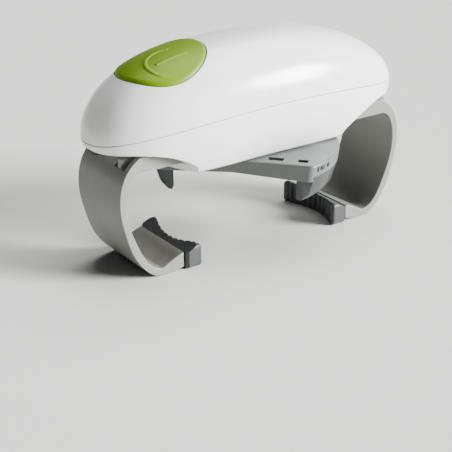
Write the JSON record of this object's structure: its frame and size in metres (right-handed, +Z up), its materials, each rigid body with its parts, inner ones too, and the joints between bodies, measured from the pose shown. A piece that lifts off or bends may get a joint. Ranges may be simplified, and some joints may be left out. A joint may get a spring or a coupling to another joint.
{
  "type": "electric jar opener",
  "caption": "Hands-free electric jar opener: a domed housing with a push button, a turntable with lid jaws below it and sliding C-shaped arms with soft jar pads.",
  "frame": {"origin": "centre of the bounding box on the surface that the arms' feet rest on", "axes": "+X along the housing, away from the start button; +Z up, along the turntable's axis; +Y towards the battery door"},
  "size_m": [0.2038, 0.1062, 0.1207],
  "materials": {
    "housing_white": "satin",
    "button_green": "satin",
    "arm_grey": "fine satin",
    "turntable_grey": "satin",
    "jaw_dark": "satin",
    "grip_rubber": "matte",
    "gear_nylon": "satin",
    "gear_brass": "machined",
    "deck_grey": "matte",
    "cradle_black": "matte",
    "switch_black": "matte",
    "board_green": "satin",
    "cell_wrap": "gloss",
    "motor_steel": "zinc plated",
    "spring_steel": "bright",
    "screw_steel": "zinc plated"
  },
  "bodies": {
    "housing": {"upper_cover": "housing_white", "lower_cover": "housing_white", "battery_door": "housing_white", "housing_screws": "screw_steel", "start_switch": "switch_black", "circuit_board": "board_green", "button_spring": "spring_steel", "battery_cells": "cell_wrap", "battery_cradle": "cradle_black", "battery_contacts": "spring_steel", "gear_deck": "deck_grey", "gear_axles": "spring_steel", "motor_bridge": "deck_grey", "planetary_gearhead": "motor_steel", "drive_motor": "motor_steel"},
    "button": {"start_button": "button_green"},
    "left_grip_arm": {"left_arm": "arm_grey", "left_jar_pad": "grip_rubber"},
    "right_grip_arm": {"right_arm": "arm_grey", "right_jar_pad": "grip_rubber"},
    "arm_gear": {"arm_pinion": "gear_nylon", "clutch_spring": "spring_steel"},
    "turntable": {"turntable": "turntable_grey", "turntable_base": "jaw_dark", "turntable_ring": "spring_steel", "clutch_disc": "grip_rubber"},
    "front_jaw": {"front_lid_jaw": "jaw_dark", "front_lid_grip": "grip_rubber"},
    "rear_jaw": {"rear_lid_jaw": "jaw_dark", "rear_lid_grip": "grip_rubber"},
    "lid_shaft": {"drive_shaft": "spring_steel"},
    "output_wheel": {"output_gear": "gear_nylon"},
    "second_wheel": {"second_gear": "gear_nylon"},
    "first_wheel": {"first_gear": "gear_nylon"},
    "motor_wheel": {"motor_pinion": "gear_brass"}
  },
  "joints": [
    {"name": "button_press", "type": "slide", "parent": "housing", "child": "button", "axis": [0, 0, -1], "range_m": [0, 0.0016], "stiffness_N_per_m": 900, "springref_m": -0.0012, "deforming": ["button_spring"]},
    {"name": "left_arm_slide", "type": "slide", "parent": "housing", "child": "left_grip_arm", "axis": [1, 0, 0], "range_m": [-0.003, 0.018]},
    {"name": "right_arm_slide", "type": "slide", "parent": "housing", "child": "right_grip_arm", "axis": [-1, 0, 0], "range_m": [-0.003, 0.018]},
    {"name": "arm_gear_turn", "type": "hinge", "parent": "housing", "child": "arm_gear", "pos_m": [0, 0, 0.066], "axis": [0, 0, 1], "range_deg": [-120, 24]},
    {"name": "turntable_spin", "type": "hinge", "parent": "housing", "child": "turntable", "pos_m": [0, 0, 0.06], "axis": [0, 0, 1], "continuous": true},
    {"name": "front_jaw_slide", "type": "slide", "parent": "turntable", "child": "front_jaw", "axis": [-0.6561, 0.7547, 0], "range_m": [-0.002, 0.027]},
    {"name": "rear_jaw_slide", "type": "slide", "parent": "turntable", "child": "rear_jaw", "axis": [0.6561, -0.7547, 0], "range_m": [-0.002, 0.027]},
    {"name": "lid_shaft_turn", "type": "hinge", "parent": "turntable", "child": "lid_shaft", "pos_m": [0, 0, 0.06], "axis": [0, 0, 1], "range_deg": [-24, 264]},
    {"name": "output_wheel_turn", "type": "hinge", "parent": "housing", "child": "output_wheel", "pos_m": [0, 0, 0.077], "axis": [0, 0, 1], "continuous": true},
    {"name": "second_wheel_turn", "type": "hinge", "parent": "housing", "child": "second_wheel", "pos_m": [-0.02705, 0.00725, 0.08], "axis": [0, 0, 1], "continuous": true},
    {"name": "first_wheel_turn", "type": "hinge", "parent": "housing", "child": "first_wheel", "pos_m": [-0.01745, -0.00938, 0.084], "axis": [0, 0, 1], "continuous": true},
    {"name": "motor_wheel_turn", "type": "hinge", "parent": "housing", "child": "motor_wheel", "pos_m": [-0.00561, -0.00507, 0.086], "axis": [0, 0, 1], "continuous": true}
  ],
  "couplings": [
    {"joint": "right_arm_slide", "follows": "left_arm_slide", "ratio": 1},
    {"joint": "arm_gear_turn", "follows": "left_arm_slide", "rad_per_m": -111.11},
    {"joint": "rear_jaw_slide", "follows": "front_jaw_slide", "ratio": 1},
    {"joint": "lid_shaft_turn", "follows": "front_jaw_slide", "rad_per_m": 166.67},
    {"joint": "output_wheel_turn", "follows": "turntable_spin", "ratio": 1},
    {"joint": "second_wheel_turn", "follows": "turntable_spin", "ratio": -3.6667},
    {"joint": "first_wheel_turn", "follows": "turntable_spin", "ratio": 11},
    {"joint": "motor_wheel_turn", "follows": "turntable_spin", "ratio": -35.2}
  ]
}
